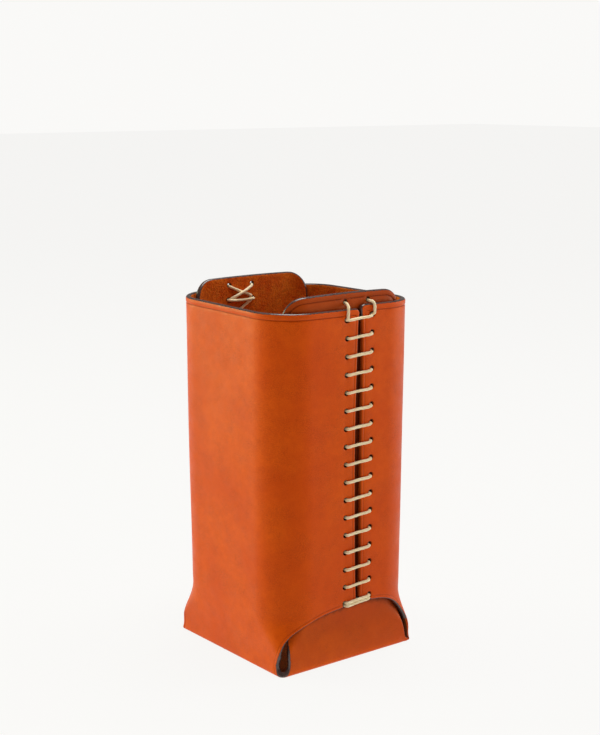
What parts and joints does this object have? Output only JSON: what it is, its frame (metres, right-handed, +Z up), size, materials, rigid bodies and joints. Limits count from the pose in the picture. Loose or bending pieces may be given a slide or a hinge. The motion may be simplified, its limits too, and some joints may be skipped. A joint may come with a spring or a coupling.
{
  "type": "pen holder cup",
  "caption": "Upright square pen cup of thick tan leather with rounded corners, two laced side seams and tongues that stand above the rim.",
  "frame": {"origin": "centre of the underside, on the surface the cup stands on", "axes": "+Z up, +X towards the right-hand laced seam, -Y towards the front panel"},
  "size_m": [0.0728, 0.0704, 0.1451],
  "materials": {
    "leather": "vegetable-tanned, smooth grain side, dark burnished edges",
    "lace": "waxed cream cord"
  },
  "bodies": {
    "root": {"base_panel": "leather", "front_panel": "leather", "back_panel": "leather", "right_tongue": "leather", "left_tongue": "leather", "right_lace": "lace", "left_lace": "lace"}
  },
  "joints": []
}
